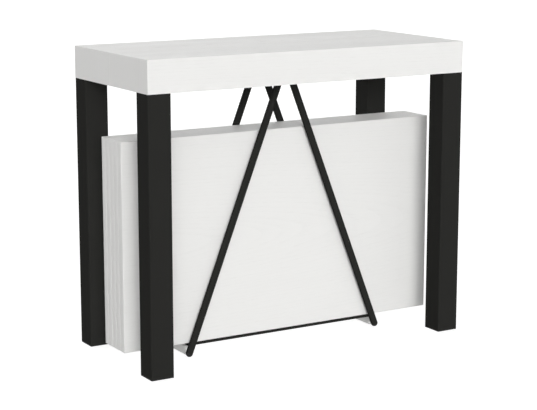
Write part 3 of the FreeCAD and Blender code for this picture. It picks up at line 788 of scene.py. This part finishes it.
def make_weld_beads():
    """A rippled bead along each closed path."""
    tree, given, result = new_group(
        "weld_beads", "GeometryNodeTree",
        [("Path", SHAPE, None), ("Bead Radius", NUMBER, WELD_RADIUS), ("Ripples", NUMBER, WELD_RIPPLES),
         ("Ripple Depth", NUMBER, WELD_RIPPLE_DEPTH), ("Finish", PAINT, None)],
        [("Beads", SHAPE)])
    path = add(tree, "GeometryNodeMeshToCurve", {0: given["Path"]}).outputs[0]
    share = add(tree, "GeometryNodeSplineParameter").outputs["Factor"]
    turn = calc(tree, "MULTIPLY", calc(tree, "MULTIPLY", share, given["Ripples"]), 2 * math.pi)
    swell = calc(tree, "ADD", calc(tree, "MULTIPLY", calc(tree, "SINE", turn), given["Ripple Depth"]), 1.0)
    path = add(tree, "GeometryNodeSetCurveRadius", {"Curve": path, "Radius": swell}).outputs[0]
    inputs = {"Resolution": WELD_SIDES, "Radius": given["Bead Radius"]}
    round_section = add(tree, "GeometryNodeCurvePrimitiveCircle", inputs)
    inputs = {"Curve": path, "Profile Curve": round_section.outputs[0], "Scale": swell}
    bead = add(tree, "GeometryNodeCurveToMesh", inputs).outputs[0]
    paint_result(tree, given, result["Beads"], bead)
    return tree


def grow(name, carrier, tree, values):
    """Runs a node tree on a carrier mesh and leaves its result as a plain mesh."""
    piece = link(name, carrier)
    modifier = piece.modifiers.new("grown", "NODES")
    modifier.node_group = tree
    for socket in tree.interface.items_tree:
        if socket.in_out == "INPUT" and socket.name in values:
            modifier[socket.identifier] = values[socket.name]
    graph = bpy.context.evaluated_depsgraph_get()
    mesh = bpy.data.meshes.new_from_object(piece.evaluated_get(graph), depsgraph=graph)
    piece.modifiers.remove(modifier)
    piece.data = mesh
    return piece


def points_facing(name, places):
    """A carrier mesh of points, each with the direction that its fastener faces."""
    mesh = bpy.data.meshes.new(name + "_points")
    mesh.from_pydata([place for place, facing in places], [], [])
    facing = mesh.attributes.new("facing", "FLOAT_VECTOR", "POINT")
    for i, (place, direction) in enumerate(places):
        facing.data[i].vector = direction
    return mesh


PAN_SCREWS = make_pan_screws()
HEX_BOLTS = make_hex_bolts()
WELD_BEADS = make_weld_beads()
UP = Vector((0, 0, 1))
DOWN = Vector((0, 0, -1))


def screw_island(points, facing, head_height):
    """Seat of a plain screw's head and the length of its shank, read from its own mesh."""
    low, high = extent(points)
    seat = (low + high) / 2
    axis = max(range(3), key=lambda i: abs(facing[i]))
    outer = high[axis] if facing[axis] > 0 else low[axis]
    seat[axis] = outer - facing[axis] * head_height
    return seat, (high - low)[axis] - head_height


def screws_on(node, name, facing, keep=None, sizes=None):
    """Cross-recessed screws in place of a node's plain ones."""
    work = merged_copy(node)
    groups = [group for group in islands(work) if keep is None or keep(group)]
    sizes = sizes or {}
    head_height = sizes.get("Head Height", PAN_HEIGHT)
    seats = [screw_island(group, facing, head_height) for group in groups]
    work.free()
    carrier = points_facing(name, [(seat, facing) for seat, length in seats])
    values = {"Shank Length": seats[0][1], "Finish": FINISHES["zinc_steel"], **sizes}
    return grow(name, carrier, PAN_SCREWS, values)


def is_screw(group):
    """A tie's screws are narrower than its bar and spacers."""
    low, high = extent(group)
    return (high - low).x < WIDEST_SCREW


def make_tie(node):
    """A rail stage's flat tie with eased edges, and its screws."""
    screws = screws_on(node, node + "_screws", DOWN, keep=is_screw)
    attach(screws, BODY_OF[node])
    work = merged_copy(node)
    narrow = [point for group in islands(work) if is_screw(group) for point in group]
    bmesh.ops.delete(work, geom=narrow, context="VERTS")
    piece = link(node + "_bar", finished_mesh(work, node + "_bar"))
    piece.data.materials.append(finish_of(node))
    ease(piece, STEEL_EASE)
    stand_for(piece, node)


def make_plate_screws(half):
    facing = Vector((0, 1 if half == "front" else -1, 0))
    node = half + "_plate_screws"
    stand_for(screws_on(node, node + "_cross", facing), node)


def make_bar_screws():
    """The smaller screws that hold the leaf bars on their sleeves."""
    sizes = {"Head Diameter": PAN_HEAD * BAR_SCREW_SCALE, "Head Height": BAR_SCREW_HEIGHT,
             "Shank Diameter": BAR_SCREW_SHANK, "Drive Span": DRIVE_SPAN * BAR_SCREW_SCALE,
             "Drive Width": DRIVE_WIDTH * BAR_SCREW_SCALE}
    stand_for(screws_on("bar_screws", "bar_screws_cross", UP, sizes=sizes), "bar_screws")


def make_leg_bolts(half):
    """Hexagon bolts and washers that hold a half's two legs."""
    node = half + "_leg_bolts"
    low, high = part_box(node)
    work = merged_copy(node)
    shafts = [extent(group) for group in islands(work)]
    work.free()
    shafts = [(a, b) for a, b in shafts if (b - a).z > HEX_HEIGHT + WASHER_THICKNESS]
    seat_z = high.z - HEX_HEIGHT - WASHER_THICKNESS
    places = [(middle_at(a, b, seat_z), UP) for a, b in shafts]
    values = {"Shank Length": seat_z - low.z, "Finish": FINISHES["zinc_steel"]}
    piece = grow(node + "_hex", points_facing(node, places), HEX_BOLTS, values)
    stand_for(piece, node)


def make_beam_bolts():
    """Rail screws of the cross beam, and the bolts and nuts of the ridge plate."""
    node = "beam_bolts"
    plate_low, plate_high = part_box("ridge_plate")
    beam_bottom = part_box("centre_beam")[0].z
    bar_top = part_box(node)[1].z - NUT_HEIGHT
    work = merged_copy(node)
    boxes = [extent(group) for group in islands(work)]
    work.free()
    inside = [(a, b) for a, b in boxes if plate_low.x < a.x and b.x < plate_high.x]
    bolts = [(a, b) for a, b in inside if a.z < plate_low.z]
    outside = [(a, b) for a, b in boxes if (a, b) not in inside]
    finish = FINISHES["zinc_steel"]
    heads = points_facing("ridge_bolts", [(middle_at(a, b, plate_low.z), DOWN) for a, b in bolts])
    values = {"Washer Thickness": 0.0, "Shank Length": bar_top + NUT_HEIGHT - plate_low.z, "Finish": finish}
    parts = [grow("ridge_bolts", heads, HEX_BOLTS, values)]
    nuts = points_facing("ridge_nuts", [(middle_at(a, b, bar_top), UP) for a, b in bolts])
    values = {"Washer Thickness": 0.0, "Head Height": NUT_HEIGHT, "Shank Length": NUT_STUB,
              "Finish": finish}
    parts.append(grow("ridge_nuts", nuts, HEX_BOLTS, values))
    screws = points_facing("beam_screws", [(middle_at(a, b, beam_bottom), DOWN) for a, b in outside])
    length = outside[0][1].z - beam_bottom
    parts.append(grow("beam_screws", screws, PAN_SCREWS, {"Shank Length": length, "Finish": finish}))
    for part in parts:
        stand_for(part, node)


# Leaves
def make_leaf(number):
    """A leaf with rounded edges and a hairline joint round the bands on its edges."""
    node = "leaf_%d" % number
    low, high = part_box(node)
    work = bmesh.new()
    size = high - low
    place = Matrix.Translation((low + high) / 2) @ Matrix.Diagonal((*size, 1.0))
    bmesh.ops.create_cube(work, size=1.0, matrix=place)
    bmesh.ops.bevel(
        work, geom=work.edges[:], offset=LEAF_EDGE_RADIUS, segments=LEAF_EDGE_SEGMENTS,
        profile=0.5, affect="EDGES")
    cut_bands(work, low, high)
    sink_joint(work, low, high)
    mark_bands(work, low, high)
    piece = link(node + "_banded", finished_mesh(work, node + "_banded"))
    smooth(piece)
    piece.data.set_sharp_from_angle(angle=EASE_ANGLE)
    piece.data.materials.append(finish_of(node))
    stand_for(piece, node)


def cut_bands(work, low, high):
    """Cuts the lines of the joint along all four edges."""
    insets = (BAND - BAND_JOINT / 2, BAND, BAND + BAND_JOINT / 2)
    for axis in (0, 2):
        for edge, inward in ((low[axis], 1), (high[axis], -1)):
            for inset in insets:
                spot = Vector()
                spot[axis] = edge + inward * inset
                square = Vector()
                square[axis] = 1.0
                geometry = work.verts[:] + work.edges[:] + work.faces[:]
                bmesh.ops.bisect_plane(work, geom=geometry, plane_co=spot, plane_no=square)


def inset_of(point, low, high):
    """How far a point lies inside the leaf's ends, and inside its long edges."""
    from_end = min(point.co.x - low.x, high.x - point.co.x)
    from_side = min(point.co.z - low.z, high.z - point.co.z)
    return from_end, from_side


def sink_joint(work, low, high):
    """Presses the middle line of the joint into both faces."""
    for point in work.verts:
        near = min(inset_of(point, low, high))
        on_face = min(point.co.y - low.y, high.y - point.co.y) < MERGE_DISTANCE
        if on_face and abs(near - BAND) < MERGE_DISTANCE:
            inward = 1 if point.co.y < (low.y + high.y) / 2 else -1
            point.co.y += inward * BAND_JOINT_DEPTH


def mark_bands(work, low, high):
    """Notes which points belong to the bands."""
    band = work.verts.layers.float.new("edge_band")
    for point in work.verts:
        point[band] = 1.0 if min(inset_of(point, low, high)) < BAND + MERGE_DISTANCE else 0.0


# Welds
def make_rod_welds():
    """Beads round the four rods where they meet the ridge plate."""
    plate_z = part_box("ridge_plate")[0].z
    rod_low, rod_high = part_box("strut_front_left")
    rod_radius = (rod_high.y - rod_low.y) / 2
    points = []
    edges = []
    for side in ("front_left", "front_right", "rear_left", "rear_right"):
        mesh = frame["nodes"]["strut_" + side].data
        rim = [v.co for v in mesh.vertices if v.co.z > plate_z - TOUCH]
        xs = [co.x for co in rim]
        ys = [co.y for co in rim]
        centre = Vector(((min(xs) + max(xs)) / 2, (min(ys) + max(ys)) / 2, plate_z))
        reach_x = (max(xs) - min(xs)) / 2
        first = len(points)
        for step in range(WELD_STEPS):
            angle = 2 * math.pi * step / WELD_STEPS
            points.append(centre + Vector((reach_x * math.cos(angle), rod_radius * math.sin(angle), 0)))
            edges.append((first + step, first + (step + 1) % WELD_STEPS))
    path = bpy.data.meshes.new("rod_weld_path")
    path.from_pydata(points, edges, [])
    piece = grow("rod_welds", path, WELD_BEADS, {"Finish": ROUND_COAT})
    smooth(piece)
    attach(piece, "centre")


# Floor, light and camera
def make_floor():
    work = bmesh.new()
    bmesh.ops.create_grid(work, x_segments=FLOOR_SQUARES, y_segments=FLOOR_SQUARES, size=FLOOR_REACH)
    floor = link("studio_floor", finished_mesh(work, "studio_floor"))
    floor.location.z = -FLOOR_DROP
    floor.data.materials.append(make_floor_paint())


def soft_light(tree, place, bearing, height, tightness, strength):
    """Light from one direction, brightest in the middle and fading all round it."""
    across = math.radians(bearing)
    rise = math.radians(height)
    middle = (math.sin(across) * math.cos(rise), -math.cos(across) * math.cos(rise), math.sin(rise))
    near = add(tree, "ShaderNodeVectorMath", {0: place, 1: middle}, operation="DOT_PRODUCT")
    fade = calc(tree, "POWER", calc(tree, "MAXIMUM", near.outputs["Value"], 0.0), tightness)
    return fade, strength


def make_light():
    """Soft lights all round, under a backdrop that looks white."""
    world = bpy.data.worlds.new("studio")
    bpy.context.scene.world = world
    world.use_nodes = True
    tree = world.node_tree
    tree.nodes.clear()
    place = add(tree, "ShaderNodeTexCoord").outputs["Generated"]
    glow = blend_of(tree, *[soft_light(tree, place, *light) for light in SOFT_LIGHTS.values()])
    sky = add(tree, "ShaderNodeBackground", {"Color": WHITE, "Strength": glow})
    white = add(tree, "ShaderNodeBackground", {"Color": WHITE, "Strength": BACKDROP_WHITE})
    seen = add(tree, "ShaderNodeLightPath").outputs["Is Camera Ray"]
    both = add(tree, "ShaderNodeMixShader", {0: seen, 1: sky.outputs[0], 2: white.outputs[0]})
    add(tree, "ShaderNodeOutputWorld", {"Surface": both.outputs[0]})
    bpy.context.scene.view_settings.view_transform = "Standard"


def make_camera():
    data = bpy.data.cameras.new("camera")
    data.sensor_fit = "HORIZONTAL"
    data.sensor_width = SENSOR_WIDTH
    data.lens = SENSOR_WIDTH * FOCAL_PIXELS / IMAGE_WIDTH
    camera = bpy.data.objects.new("camera", data)
    camera.location = CAMERA_PLACE
    camera.rotation_euler = (math.radians(90 - CAMERA_DIP), 0, math.radians(-CAMERA_TURN))
    bpy.context.scene.collection.objects.link(camera)
    bpy.context.scene.camera = camera


paint_nodes()
for half in HALVES:
    eased_node(half + "_end_rails", RAIL_EASE)
    eased_node(half + "_rail_plates", STEEL_EASE)
    eased_node(half + "_corner_blocks", BLOCK_EASE)
    make_plate_screws(half)
    make_leg_bolts(half)
    for stage in STAGES:
        eased_node("%s_rails_%d" % (half, stage), RAIL_EASE)
        make_tie("%s_tie_%d" % (half, stage))
eased_node("centre_rails", RAIL_EASE)
eased_node("centre_beam", STEEL_EASE)
eased_node("ridge_plate", STEEL_EASE)
eased_node("leaf_bars", STEEL_EASE)
make_bar_screws()
make_beam_bolts()
make_rod_welds()
for number in LEAVES:
    make_leaf(number)
make_floor()
make_light()
make_camera()
